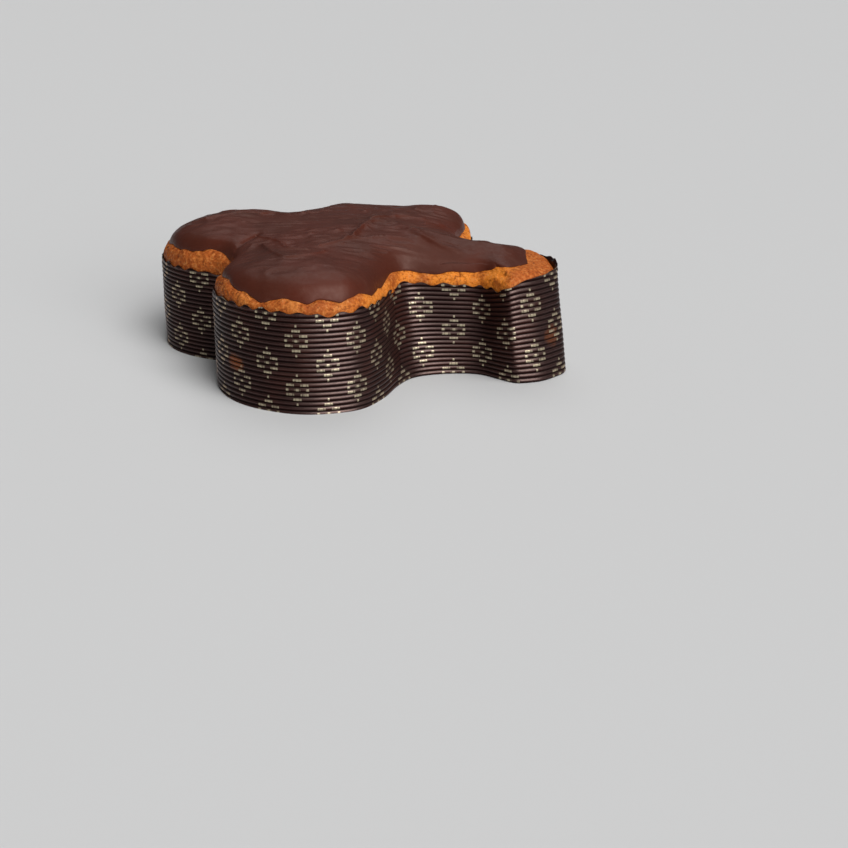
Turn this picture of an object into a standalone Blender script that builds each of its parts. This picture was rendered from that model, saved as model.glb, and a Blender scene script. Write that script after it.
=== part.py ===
"""Dove-shaped Easter bread with a chocolate glaze, standing in its ribbed paper case.

Metres, +Z up. The head points along +X, the wings along +Y and -Y, the tail along -X,
and the case stands on the plane z = 0.
"""
import math

import bpy
import numpy as np

# Half of the dove's outline in plan, from the head's end past the wing to the tail's end.
HALF_OUTLINE = (
    (0.1238, 0.0000), (0.1206, 0.0090), (0.1145, 0.0190), (0.1064, 0.0252), (0.1018, 0.0273),
    (0.0972, 0.0266), (0.0880, 0.0233), (0.0785, 0.0206), (0.0660, 0.0234), (0.0536, 0.0296),
    (0.0440, 0.0390), (0.0398, 0.0540), (0.0385, 0.0718), (0.0328, 0.0905), (0.0203, 0.1020),
    (0.0047, 0.1088), (-0.0130, 0.1094), (-0.0296, 0.1055), (-0.0442, 0.0967), (-0.0552, 0.0832),
    (-0.0596, 0.0680), (-0.0619, 0.0556), (-0.0700, 0.0490), (-0.0816, 0.0478), (-0.0941, 0.0447),
    (-0.1066, 0.0380), (-0.1156, 0.0282), (-0.1217, 0.0148), (-0.1238, 0.0000),
)
OUTLINE_STEPS = 4000
SPAN_STEPS = 64
OUTLINE_SOFTEN = 0.0018

# Where a change comes in along X or Y: the place it starts, and the length to its full size.
FAR_WING_SHORTER = 0.0025
FAR_WING_CUT_BACK = 0.0085
FAR_WING_FORWARD = 0.0085
FAR_WING_OUT = (0.050, 0.050)
FAR_FRONT_FROM = (-0.020, 0.050)
FAR_FRONT_TO = (0.070, -0.020)
FAR_BACK_FROM = (0.012, -0.040)
FAR_NECK_WIDER = 0.0075
FAR_NECK_PLACE = 0.080
FAR_NECK_LENGTH = 0.020
FAR_HEAD_WIDER = 0.0040
FAR_HEAD_FROM = (0.080, 0.016)
FAR_HEAD_TO = (0.124, -0.010)

# Paper case: height at the body, how much its rim climbs on the near wing and at the head.
CASE_HEIGHT = 0.0525
CASE_WING_RISE = 0.0028
WING_RISE_OUT = (-0.045, -0.050)
CASE_HEAD_RISE = 0.0072
HEAD_RISE_FROM = (0.078, 0.032)
RIB_COUNT = 20
RIB_DEPTH = 0.00055
CASE_INNER = 0.00170
RIM_INNER = 0.00100
RIM_TAPER = 0.0040
FLOOR = 0.0012
SCALLOP_HEIGHT = 0.0008
SCALLOP_STEPS = 4
SCALLOP_START = 0.4
SCALLOP_SWELL = (0.75, 0.35, 0.37)
HEAD_LEAN = 0.0075
LEAN_FROM = (0.060, 0.055)
LEAN_LIMIT = 1.1
# Places where the wall stands off upright, near the neck's near side: place, radius, and shift
# at the case's height.
WALL_LEANS = (
    ((0.0420, -0.0365), 0.0125, (-0.0058, 0.0054)),
    ((0.0400, -0.0600), 0.0160, (-0.0038, 0.0)),
    ((0.0985, -0.0265), 0.0100, (0.0008, -0.0028)),
)
BOX_CENTRE = (-0.0001, -0.0025)
GAP = 0.0003

# Bread: crust shoulder over the rim, then the long low dome.
BREAD_SIDE = CASE_INNER + GAP
SIDE_TOP = 0.0040
SHOULDER_HEIGHT = 0.0085
SHOULDER_REACH = 0.0026
SHOULDER_SINK = 0.0010
DOME_HEIGHT = 0.0140
DOME_REACH = 0.0210
# Share by which shoulder and dome change along X: fuller at the tail, lower at neck and head.
SHOULDER_CHANGES = (
    (0.55, (-0.055, -0.030)),
    (-0.30, (-0.095, -0.020)),
    (-0.20, (0.035, 0.030)),
    (-0.62, (0.085, 0.030)),
)
DOME_CHANGES = ((-0.30, (-0.050, -0.040)), (-0.78, (0.078, 0.030)))
# Local swells of the dome: place, radius, height.
SWELLS = (
    ((0.078, 0.006), 0.020, 0.0018),
    ((-0.064, -0.046), 0.011, 0.0036),
    ((-0.048, 0.046), 0.022, 0.0030),
    ((-0.014, 0.070), 0.028, -0.0030),
    ((0.032, 0.082), 0.016, 0.0026),
)
SWELL_INSIDE = 0.008
# Slow unevenness: height, turns along X and Y in radians a metre, start.
UNEVEN = ((0.0008, 38.0, 22.0, 0.6), (0.0006, -27.0, 61.0, 2.1))
UNEVEN_INSIDE = 0.020

# Glaze: thickness, the strip of crust left bare round it, more of it at the head's end.
GLAZE = 0.0018
BARE_STRIP = 0.0050
BARE_HEAD = 0.0085
BARE_HEAD_FROM = (0.096, 0.022)
# Wander of the border: height and turn from one point round the outline to the next.
BARE_WANDER = ((0.0005, 0.9), (0.0003, 2.1))
# Wider strips of bare crust: length along the outline from the head's end, reach, width.
BARE_PATCHES = ((0.520, 0.018, 0.0026),)
BAND_MARGIN = 0.0002
LIP_REACH = 0.0004
LIP_LEVEL = 0.45
LIP_TOP = 0.85

# Mesh: points round the outline and the inner ellipse the rings close towards.
AROUND = 78
CREASE_DENSITY = 0.012
INNER_ELLIPSE = (0.076, 0.026)
BAND = 0.0060
CRUMB = 0.00035
CRUMB_TURN = 2.3
CRUST_ROWS = (0.10, 0.35, 0.65)
OUTER_ROWS = (0.0, 0.08, 0.22, 0.42, 0.68, 1.0)
INNER_ROWS = (0.66, 0.33)

# Soft ridges of the glaze: start, end, width, height.
FOLDS = (
    ((0.004, -0.010), (0.029, 0.001), 0.0045, 0.0012),
    ((0.029, 0.001), (0.058, -0.012), 0.0045, 0.0012),
    ((0.002, 0.018), (0.026, 0.038), 0.0045, 0.0012),
    ((0.026, 0.038), (0.042, 0.056), 0.0040, 0.0010),
    ((-0.044, -0.044), (-0.016, -0.074), 0.0040, 0.0010),
    ((-0.010, -0.050), (0.004, -0.022), 0.0040, 0.0009),
    ((-0.060, -0.047), (-0.050, -0.026), 0.0040, -0.0014),
)

CASE_COLOUR = (0.030, 0.014, 0.014, 1.0)
BREAD_COLOUR = (0.62, 0.25, 0.055, 1.0)
GLAZE_COLOUR = (0.090, 0.030, 0.020, 1.0)


def ramp(values, change):
    """Climbs from 0 at the change's start to 1 at its full length."""
    start, length = change
    return np.clip((values - start) / length, 0, 1)


def ease(values, change):
    """As ramp, with level ends."""
    share = ramp(values, change)
    return share * share * (3 - 2 * share)


def dense_outline():
    """Closed Catmull-Rom curve through the outline's points, softened and evenly spaced."""
    near = np.array(HALF_OUTLINE)
    far = near[1:-1].copy()
    wing = ramp(far[:, 1], FAR_WING_OUT)
    front = ramp(far[:, 0], FAR_FRONT_FROM) * ramp(far[:, 0], FAR_FRONT_TO)
    back = ramp(far[:, 0], FAR_BACK_FROM)
    far[:, 1] -= (FAR_WING_SHORTER + FAR_WING_CUT_BACK * back) * wing
    far[:, 0] += FAR_WING_FORWARD * front
    neck = np.exp(-((far[:, 0] - FAR_NECK_PLACE) / FAR_NECK_LENGTH) ** 2)
    head = ramp(far[:, 0], FAR_HEAD_FROM) * ramp(far[:, 0], FAR_HEAD_TO)
    far[:, 1] += FAR_NECK_WIDER * neck + FAR_HEAD_WIDER * head
    points = np.vstack([near[:1], far, near[-1:], (near[1:-1] * [1, -1])[::-1]])
    total = len(points)
    t = np.arange(SPAN_STEPS * total) / SPAN_STEPS
    i = t.astype(int)
    u = (t - i)[:, None]
    a, b, c, d = (points[(i + k) % total] for k in (-1, 0, 1, 2))
    curve = 0.5 * (2 * b + (c - a) * u + (2 * a - 5 * b + 4 * c - d) * u ** 2
                   + (3 * b - a - 3 * c + d) * u ** 3)
    curve = np.vstack([curve, curve[:1]])
    run = np.concatenate([[0], np.cumsum(np.linalg.norm(np.diff(curve, axis=0), axis=1))])
    s = np.arange(OUTLINE_STEPS) / OUTLINE_STEPS * run[-1]
    even = np.column_stack([np.interp(s, run, curve[:, 0]), np.interp(s, run, curve[:, 1])])
    step = run[-1] / OUTLINE_STEPS
    reach = int(3 * OUTLINE_SOFTEN / step)
    soft = np.zeros_like(even)
    weights = 0.0
    for k in range(-reach, reach + 1):
        w = math.exp(-0.5 * (k * step / OUTLINE_SOFTEN) ** 2)
        soft += w * np.roll(even, k, axis=0)
        weights += w
    return soft / weights, run[-1]


DENSE, PERIMETER = dense_outline()


def outward(curve):
    tangent = np.roll(curve, -1, axis=0) - np.roll(curve, 1, axis=0)
    tangent /= np.linalg.norm(tangent, axis=1)[:, None]
    return np.column_stack([tangent[:, 1], -tangent[:, 0]])


DENSE_NORMAL = outward(DENSE)


def spread(count):
    """Places round the outline, closer together where it bends sharply."""
    turn = np.linalg.norm(np.roll(DENSE_NORMAL, -1, axis=0) - DENSE_NORMAL, axis=1)
    weight = PERIMETER / len(DENSE) + CREASE_DENSITY * turn
    run = np.concatenate([[0], np.cumsum(weight)])
    return np.interp(np.arange(count) / count * run[-1], run, np.arange(len(DENSE) + 1))


PLACES = spread(AROUND)


def at(places, values):
    """Values held round the dense outline, read between its points."""
    i = np.floor(places).astype(int)
    u = (places - i)[:, None]
    return values[i % len(values)] * (1 - u) + values[(i + 1) % len(values)] * u


def offset_ring(places, inset):
    """Outline moved inwards by an inset, which may change round it."""
    return at(places, DENSE) - np.reshape(inset, (-1, 1)) * at(places, DENSE_NORMAL)


def inner_ring(places):
    """Nearest points of the inner ellipse to the outline's band edge."""
    angle = np.linspace(0, 2 * math.pi, 8001)
    ellipse = np.column_stack([INNER_ELLIPSE[0] * np.cos(angle), INNER_ELLIPSE[1] * np.sin(angle)])
    edge = offset_ring(places, BAND)
    nearest = [np.argmin(((ellipse - p) ** 2).sum(axis=1)) for p in edge]
    return ellipse[nearest]


EDGE = offset_ring(PLACES, BAND)
INNER = inner_ring(PLACES)


def plan_ring(inset):
    """Ring at an inset from the outline: along its normal in the band, then to the ellipse."""
    inset = np.broadcast_to(inset, (len(PLACES),)).astype(float)
    near = offset_ring(PLACES, np.minimum(inset, BAND))
    reach = np.linalg.norm(EDGE - INNER, axis=1)
    part = np.clip((inset - BAND) / reach, 0, 1)[:, None]
    return near + part * (INNER - EDGE)


def depth(xy):
    """Distance from points in plan to the outline."""
    return np.array([math.sqrt(((DENSE[::4] - p) ** 2).sum(axis=1).min()) for p in xy])


def rim_height(xy):
    """Height of the case's rim: level, but higher on the near wing and at the head."""
    wing = CASE_WING_RISE * ease(xy[:, 1], WING_RISE_OUT)
    head = CASE_HEAD_RISE * ease(xy[:, 0], HEAD_RISE_FROM)
    return CASE_HEIGHT + wing + head


def bread_height(xy):
    """Top of the bread: steep crust shoulder at the rim, then a low dome."""
    d = np.maximum(depth(xy) - BREAD_SIDE, 0)
    x, y = xy[:, 0], xy[:, 1]
    shoulder_share = 1 + sum(share * ease(x, change) for share, change in SHOULDER_CHANGES)
    shoulder = SHOULDER_HEIGHT * shoulder_share * (1 - np.exp(-d / SHOULDER_REACH)) - SHOULDER_SINK
    dome = DOME_HEIGHT * (1 - np.exp(-d / DOME_REACH))
    for share, change in DOME_CHANGES:
        dome *= 1 + share * ease(x, change)
    for place, radius, height in SWELLS:
        away = ((xy - np.array(place)) ** 2).sum(axis=1) / radius ** 2
        dome += height * np.exp(-0.5 * away) * ease(d, (0, SWELL_INSIDE))
    uneven = sum(high * np.sin(along * x + across * y + start) for high, along, across, start in UNEVEN)
    return rim_height(xy) + shoulder + dome + uneven * ease(d, (0, UNEVEN_INSIDE))


def fold_height(xy):
    """Soft ridges standing on the glaze."""
    total = np.zeros(len(xy))
    for start, end, width, height in FOLDS:
        a, b = np.array(start), np.array(end)
        along = np.clip(((xy - a) @ (b - a)) / ((b - a) @ (b - a)), 0, 1)
        away = np.linalg.norm(xy - a - along[:, None] * (b - a), axis=1)
        total += height * np.exp(-0.5 * (away / width) ** 2)
    return total


def place(xyz):
    """Leans the head's end back with height, leans the wall in and out at a few places, and
    puts the origin under the middle of the box."""
    moved = xyz.copy()
    up = np.clip(xyz[:, 2] / CASE_HEIGHT, 0, LEAN_LIMIT)
    moved[:, 0] -= HEAD_LEAN * ease(xyz[:, 0], LEAN_FROM) * up
    for centre, radius, shift in WALL_LEANS:
        away = ((xyz[:, :2] - np.array(centre)) ** 2).sum(axis=1) / radius ** 2
        moved[:, :2] += np.array(shift) * (np.exp(-0.5 * away) * np.minimum(up, 1))[:, None]
    moved[:, :2] -= BOX_CENTRE
    return moved


class Shell:
    """Collects rings of points and the faces between them."""

    def __init__(self):
        self.points = []
        self.faces = []
        self.count = 0

    def ring(self, xy, z):
        z = np.broadcast_to(z, (len(xy),))
        self.points.append(np.column_stack([xy, z]))
        start = self.count
        self.count += len(xy)
        return start, len(xy)

    def join(self, low, high):
        """Triangles from one ring to the next; the second may have whole multiples of points."""
        a, n = low
        b, m = high
        if m < n:
            self.join_back(low, high)
            return
        each = m // n
        for i in range(n):
            j = (i + 1) % n
            middle = each // 2
            for k in range(each):
                p, q = b + (i * each + k) % m, b + (i * each + k + 1) % m
                self.faces.append((a + i if k < middle or each == 1 else a + j, q, p))
                if (each == 1) or (k == middle - 1):
                    self.faces.append((a + i, a + j, q))

    def join_turned(self, low, high):
        """As join, with the other diagonal, so that it matches a surface built from outside in."""
        a, n = low
        b, m = high
        for i in range(n):
            j = (i + 1) % n
            self.faces.append((a + i, a + j, b + i))
            self.faces.append((a + j, b + j, b + i))

    def join_back(self, low, high):
        a, n = low
        b, m = high
        each = n // m
        for i in range(m):
            j = (i + 1) % m
            middle = each // 2
            for k in range(each):
                p, q = a + (i * each + k) % n, a + (i * each + k + 1) % n
                self.faces.append((p, q, b + i if k < middle or each == 1 else b + j))
                if (each == 1) or (k == middle - 1):
                    self.faces.append((q, b + j, b + i))

    def close(self, ring, centre, z, upward=True):
        """Fans a ring to one centre point."""
        start, n = ring
        self.points.append(np.array([[centre[0], centre[1], z]]))
        tip = self.count
        self.count += 1
        for i in range(n):
            a, b = start + i, start + (i + 1) % n
            self.faces.append((a, b, tip) if upward else (b, a, tip))

    def make(self, name, material):
        points = place(np.vstack(self.points))
        mesh = bpy.data.meshes.new(name)
        mesh.from_pydata(points.tolist(), [], self.faces)
        mesh.validate()
        mesh.update()
        mesh.polygons.foreach_set("use_smooth", [True] * len(mesh.polygons))
        mesh.materials.append(material)
        made = bpy.data.objects.new(name, mesh)
        bpy.context.scene.collection.objects.link(made)
        return made


def material(name, colour, roughness, metallic=0.0):
    made = bpy.data.materials.new(name)
    made.use_nodes = True
    shader = made.node_tree.nodes["Principled BSDF"]
    shader.inputs["Base Color"].default_value = colour
    shader.inputs["Roughness"].default_value = roughness
    shader.inputs["Metallic"].default_value = metallic
    made.diffuse_color = colour
    return made


def build_paper_case():
    """Ribbed wall with a scalloped rim, a flat floor, and a plain inside."""
    shell = Shell()
    base = rim_height(offset_ring(PLACES, 0))

    # outer wall, row by row, every other row a ridge
    bottom = shell.ring(plan_ring(RIB_DEPTH), 0.0)
    under = shell.ring(INNER, 0.0)
    shell.join(under, bottom)
    shell.close(under, (0, 0), 0.0, upward=False)
    previous = bottom
    rows = 2 * RIB_COUNT
    for row in range(1, rows):
        side = RIB_DEPTH if row % 2 == 0 else -RIB_DEPTH
        level = base * row / rows
        ring = shell.ring(offset_ring(PLACES, side), level)
        shell.join(previous, ring)
        previous = ring

    # rim: a finer row rising and falling in small scallops
    steps = np.arange(AROUND * SCALLOP_STEPS)
    wrap = np.append(PLACES, PLACES[0] + len(DENSE))
    fine = np.interp(steps / SCALLOP_STEPS, np.arange(AROUND + 1), wrap)
    least, swell, turn = SCALLOP_SWELL
    wave = np.sin(2 * math.pi * steps / SCALLOP_STEPS + SCALLOP_START)
    wave *= least + swell * np.sin(steps * turn)
    outer = offset_ring(fine, 0.0)
    height = rim_height(outer) + SCALLOP_HEIGHT * wave
    rim = shell.ring(outer, height)
    shell.join(previous, rim)
    inner_rim = shell.ring(offset_ring(fine, RIM_INNER), height)
    shell.join(rim, inner_rim)

    # inside of the wall and the floor
    inside = shell.ring(plan_ring(CASE_INNER), base - RIM_TAPER)
    shell.join(inner_rim, inside)
    foot = shell.ring(plan_ring(CASE_INNER), FLOOR)
    shell.join(inside, foot)
    floor = shell.ring(INNER, FLOOR)
    shell.join(foot, floor)
    shell.close(floor, (0, 0), FLOOR)
    return shell.make("paper_case", material("case_paper", CASE_COLOUR, 0.45))


def glaze_border():
    """Strip of crust left bare round the glaze, wider at the head's end."""
    xy = offset_ring(PLACES, 0)
    step = np.arange(AROUND)
    wander = sum(height * np.sin(step * turn) for height, turn in BARE_WANDER)
    strip = np.minimum(BARE_STRIP + wander, BAND - BAND_MARGIN)
    run = PLACES / OUTLINE_STEPS * PERIMETER
    for place, reach, width in BARE_PATCHES:
        strip += width * np.exp(-((run - place) / reach) ** 2)
    return strip + BARE_HEAD * ease(xy[:, 0], BARE_HEAD_FROM)


def dome_rows():
    """Rings from the glaze's border to the middle, shared by the bread and its glaze."""
    start = plan_ring(glaze_border())
    outer = [start + share * (INNER - start) for share in OUTER_ROWS]
    return outer + [INNER * share for share in INNER_ROWS]


def build_bread():
    """Bread filling the case, its crust shoulder above the rim and the dome under the glaze."""
    shell = Shell()
    level = FLOOR + GAP
    foot = shell.ring(plan_ring(BREAD_SIDE), level)
    under = shell.ring(INNER, level)
    shell.join(under, foot)
    shell.close(under, (0, 0), level, upward=False)
    edge = plan_ring(BREAD_SIDE)
    previous = shell.ring(edge, rim_height(edge) - SIDE_TOP)
    shell.join_turned(foot, previous)
    border = glaze_border()
    crumb = CRUMB * np.sin(np.arange(AROUND) * CRUMB_TURN)
    for share in CRUST_ROWS:
        xy = plan_ring(BREAD_SIDE + share * (border - BREAD_SIDE))
        ring = shell.ring(xy, bread_height(xy) + crumb)
        shell.join(previous, ring)
        previous = ring
    for xy in dome_rows():
        ring = shell.ring(xy, bread_height(xy))
        shell.join(previous, ring)
        previous = ring
    shell.close(previous, (0, 0), float(bread_height(np.zeros((1, 2)))[0]))
    return shell.make("bread", material("golden_crust", BREAD_COLOUR, 0.75))


def build_glaze():
    """Skin of chocolate over the dome, rounded at its border and drawn into soft ridges."""
    shell = Shell()
    rows = dome_rows()

    # underside, from the middle out to the border
    centre = np.zeros((1, 2))
    low = shell.ring(rows[-1], bread_height(rows[-1]) + GAP)
    shell.close(low, (0, 0), float(bread_height(centre)[0] + GAP), upward=False)
    for xy in rows[-2::-1]:
        ring = shell.ring(xy, bread_height(xy) + GAP)
        shell.join_turned(low, ring)
        low = ring

    # rounded border, then the top back to the middle
    lip = plan_ring(glaze_border() - LIP_REACH)
    ring = shell.ring(lip, bread_height(rows[0]) + GAP + LIP_LEVEL * GLAZE)
    shell.join(low, ring)
    low = ring
    for k, xy in enumerate(rows):
        thick = GLAZE * (LIP_TOP if k == 0 else 1.0)
        ring = shell.ring(xy, bread_height(xy) + GAP + thick + fold_height(xy) * (k > 0))
        shell.join(low, ring)
        low = ring
    top = float(bread_height(centre)[0] + GAP + GLAZE + fold_height(centre)[0])
    shell.close(low, (0, 0), top)
    return shell.make("chocolate_glaze", material("dark_chocolate", GLAZE_COLOUR, 0.38))


for old in list(bpy.data.objects):
    bpy.data.objects.remove(old, do_unlink=True)

build_paper_case()
build_bread()
build_glaze()
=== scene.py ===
import math

import bpy
import numpy as np
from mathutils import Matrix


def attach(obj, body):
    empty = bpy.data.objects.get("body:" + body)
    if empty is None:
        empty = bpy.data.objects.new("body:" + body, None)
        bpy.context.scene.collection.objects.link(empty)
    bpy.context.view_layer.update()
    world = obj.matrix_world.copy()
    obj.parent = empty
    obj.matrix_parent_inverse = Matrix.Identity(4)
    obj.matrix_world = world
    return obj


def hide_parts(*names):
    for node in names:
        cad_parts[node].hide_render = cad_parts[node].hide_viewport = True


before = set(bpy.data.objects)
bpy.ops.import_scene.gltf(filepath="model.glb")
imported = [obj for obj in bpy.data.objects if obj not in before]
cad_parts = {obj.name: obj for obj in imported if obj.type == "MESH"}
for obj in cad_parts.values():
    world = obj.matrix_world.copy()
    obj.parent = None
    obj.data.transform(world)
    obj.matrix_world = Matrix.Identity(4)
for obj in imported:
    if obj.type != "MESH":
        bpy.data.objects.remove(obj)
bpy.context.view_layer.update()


# The paper case: one band of glossy corrugated baking paper, printed with rosettes, bent
# round the dove's outline, lapped and glued at its ends, and joined to a flat paper floor.
# Its upper edge is die-cut in an uneven wavy line that stands up round the bread.
HALF_OUTLINE = (
    (0.1238, 0.0000), (0.1206, 0.0090), (0.1145, 0.0190), (0.1064, 0.0252), (0.1018, 0.0273),
    (0.0972, 0.0266), (0.0880, 0.0233), (0.0785, 0.0206), (0.0660, 0.0234), (0.0536, 0.0296),
    (0.0440, 0.0390), (0.0398, 0.0540), (0.0385, 0.0718), (0.0328, 0.0905), (0.0203, 0.1020),
    (0.0047, 0.1088), (-0.0130, 0.1094), (-0.0296, 0.1055), (-0.0442, 0.0967), (-0.0552, 0.0832),
    (-0.0596, 0.0680), (-0.0619, 0.0556), (-0.0700, 0.0490), (-0.0816, 0.0478), (-0.0941, 0.0447),
    (-0.1066, 0.0380), (-0.1156, 0.0282), (-0.1217, 0.0148), (-0.1238, 0.0000),
)
OUTLINE_STEPS = 4000
SPAN_STEPS = 64
OUTLINE_SOFTEN = 0.0018

# How the far half differs from the near one. A pair says where a change comes in along X or Y:
# the place it starts, and the length to its full size.
FAR_WING_SHORTER = 0.0025
FAR_WING_CUT_BACK = 0.0085
FAR_WING_FORWARD = 0.0085
FAR_WING_OUT = (0.050, 0.050)
FAR_FRONT_FROM = (-0.020, 0.050)
FAR_FRONT_TO = (0.070, -0.020)
FAR_BACK_FROM = (0.012, -0.040)
FAR_NECK_WIDER = 0.0075
FAR_NECK_PLACE = 0.080
FAR_NECK_LENGTH = 0.020
FAR_HEAD_WIDER = 0.0040
FAR_HEAD_FROM = (0.080, 0.016)
FAR_HEAD_TO = (0.124, -0.010)
# Rows of points run square to the outline in a band beside it, and beyond it straight on to an
# ellipse in the dove's middle, given by its half axes.
BAND = 0.0060
HEART_ELLIPSE = (0.076, 0.026)
HEART_STEPS = 2000

CASE_HEIGHT = 0.0525
CASE_WING_RISE = 0.0028
WING_RISE_OUT = (-0.045, -0.050)
CASE_HEAD_RISE = 0.0072
HEAD_RISE_FROM = (0.078, 0.032)
# The head's end leans back with height: by this much at the case's height, from this place
# along X, and no further above this share of the height.
HEAD_LEAN = 0.0075
LEAN_FROM = (0.060, 0.055)
LEAN_LIMIT = 1.1
# Places where the wall stands off upright: place, radius, and shift at the case's height.
WALL_LEANS = (
    ((0.0420, -0.0365), 0.0120, (-0.0062, 0.0058)),
    ((0.0400, -0.0600), 0.0160, (-0.0038, 0.0)),
    ((0.0985, -0.0265), 0.0100, (0.0008, -0.0028)),
)
BOX_CENTRE = (-0.0001, -0.0025)
FLOOR = 0.0012
FLOOR_INSETS = (0.030, 0.004)
CASE_INNER = 0.0017
RIM_TAPER = 0.0040
# The wall's first row inside the cut edge: how far in, and how far down.
RIM_INSIDE = (0.0012, 0.0022)

# Ribs between foot and rim, and in the band, which has a few more. Along part of the outline
# the band stands lower, by the ribs given for places on it, and ribs that have no room at its
# foot or its edge are squeezed to a small share of their height.
RIBS_TALL = 20.6
RIB_ROWS = 23
RIB_SQUEEZE = 0.04
BAND_DROPS = ((0.455, 1.40), (0.525, 0.45), (0.600, 0.45), (0.645, 0.0))
RIB_DEPTH = 0.00055
RIB_ROUNDNESS = 0.62
RIB_STEPS = (0.0, 0.10, 0.30, 0.50, 0.70, 0.90)
# The ribs flatten out below the cut edge: over this height, to this share.
RIBS_FADE = (0.0026, 0.2)
# Sharp upright corners of the wall: length along the outline, rise, reach. They come in over
# the heights given last.
WALL_CORNERS = ((0.7128, 0.0007, 0.0025), (0.6405, -0.0012, 0.0040))
CORNER_FROM = (0.002, 0.014)
PAPER_THICK = 0.00040
PAPER_BUCKLE = 0.00022
BUCKLE_SIZE = 0.022
CASE_COLUMNS = 640
# The lap where the band's ends are glued: its place, its length, and its step outwards.
SEAM_AT = 0.290
SEAM_LAP = 0.009
SEAM_STEP = 0.00030

# The waves of the cut edge. Slower waves shift them and change their height: waves round the
# outline, share, start.
SCALLOP_LENGTH = 0.0105
SCALLOP_HEIGHT = 0.00085
SCALLOP_SHIFTS = ((11, 0.8, 0.0), (17, 0.5, 1.0))
SCALLOP_SWELL = (13, 0.4, 0.0)
SCALLOP_BROAD = (29, 0.35, 2.0)
# They are lower towards the head's tip: share, and where along X.
SCALLOP_CALM = (0.65, (0.088, 0.020))
# Dips of the cut edge: length along the outline, reach, depth (below nought it stands higher).
RIM_DIPS = ((0.577, 0.012, 0.0016), (0.652, 0.0035, -0.0018), (0.697, 0.005, 0.0008),
            (0.7075, 0.0085, 0.0034), (0.7195, 0.0050, 0.0020), (0.010, 0.015, -0.0034))

# Print: places round the outline of some columns of rosettes, with their count.
PRINT_COLUMNS = ((0.4235, -7), (0.5442, 0), (0.6087, 4), (0.6565, 7), (0.7087, 10), (0.7436, 12))
PRINT_PITCH = 0.0166
RIB_PITCH = CASE_HEIGHT / RIBS_TALL
REPEAT_RIBS = 10
PRINT_REPEAT = REPEAT_RIBS * RIB_PITCH
PAPER_MAROON = (0.0130, 0.0036, 0.0034, 1.0)
PAPER_RED_BROWN = (0.0230, 0.0056, 0.0040, 1.0)
# Painted shade: the near-black colour laid into the rib valleys.
PAPER_VALLEY_SHADE = (0.0040, 0.0012, 0.0010, 1.0)
PAPER_SHEEN = (1.0, 0.70, 0.63, 1.0)
PAPER_DULL = 0.04
PAPER_GLOSS = 0.95
PRINT_CREAM = (0.500, 0.430, 0.300, 1.0)
GREASE_ORANGE = (0.170, 0.046, 0.010, 1.0)
# Grease spots: length along the outline, ribs up, half width, half height in ribs, strength.
GREASE_SPOTS = ((0.5225, 8.8, 0.0062, 2.0, 1.0), (0.7391, 8.6, 0.0060, 2.3, 0.45))


def ramp(values, change):
    """Climbs evenly from 0 at the change's start to 1 at its full length."""
    start, length = change
    return np.clip((values - start) / length, 0, 1)


def ease(values, change):
    """As ramp, with level ends."""
    share = ramp(values, change)
    return share * share * (3 - 2 * share)


def dove_outline():
    """Closed Catmull-Rom curve through both halves' points, read at even steps of its length,
    then each point averaged with its neighbours by a bell-shaped weight."""
    near = np.array(HALF_OUTLINE)
    far = near[1:-1].copy()
    wing = ramp(far[:, 1], FAR_WING_OUT)
    front = ramp(far[:, 0], FAR_FRONT_FROM) * ramp(far[:, 0], FAR_FRONT_TO)
    back = ramp(far[:, 0], FAR_BACK_FROM)
    far[:, 1] -= (FAR_WING_SHORTER + FAR_WING_CUT_BACK * back) * wing
    far[:, 0] += FAR_WING_FORWARD * front
    neck = np.exp(-((far[:, 0] - FAR_NECK_PLACE) / FAR_NECK_LENGTH) ** 2)
    head = ramp(far[:, 0], FAR_HEAD_FROM) * ramp(far[:, 0], FAR_HEAD_TO)
    far[:, 1] += FAR_NECK_WIDER * neck + FAR_HEAD_WIDER * head
    points = np.vstack([near[:1], far, near[-1:], (near[1:-1] * [1, -1])[::-1]])

    total = len(points)
    t = np.arange(SPAN_STEPS * total) / SPAN_STEPS
    i = t.astype(int)
    u = (t - i)[:, None]
    a, b, c, d = (points[(i + k) % total] for k in (-1, 0, 1, 2))
    curve = 0.5 * (2 * b + (c - a) * u + (2 * a - 5 * b + 4 * c - d) * u ** 2
                   + (3 * b - a - 3 * c + d) * u ** 3)
    curve = np.vstack([curve, curve[:1]])
    run = np.concatenate([[0], np.cumsum(np.linalg.norm(np.diff(curve, axis=0), axis=1))])
    s = np.arange(OUTLINE_STEPS) / OUTLINE_STEPS * run[-1]
    even = np.column_stack([np.interp(s, run, curve[:, 0]), np.interp(s, run, curve[:, 1])])

    step = run[-1] / OUTLINE_STEPS
    reach = np.arange(-int(3 * OUTLINE_SOFTEN / step), int(3 * OUTLINE_SOFTEN / step) + 1)
    weight = np.exp(-0.5 * (reach * step / OUTLINE_SOFTEN) ** 2)
    soft = sum(w * np.roll(even, k, axis=0) for k, w in zip(reach, weight)) / weight.sum()
    return soft, run[-1]


OUTLINE, PERIMETER = dove_outline()
TANGENT = np.roll(OUTLINE, -1, axis=0) - np.roll(OUTLINE, 1, axis=0)
TANGENT /= np.linalg.norm(TANGENT, axis=1)[:, None]
OUTWARD = np.column_stack([TANGENT[:, 1], -TANGENT[:, 0]])


def read_round(run, values):
    """Values held at the outline's even steps, read at any lengths along it."""
    place = np.mod(run / PERIMETER, 1) * OUTLINE_STEPS
    i = np.floor(place).astype(int) % OUTLINE_STEPS
    u = (place - np.floor(place))[..., None]
    return values[i] * (1 - u) + values[(i + 1) % OUTLINE_STEPS] * u


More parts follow.
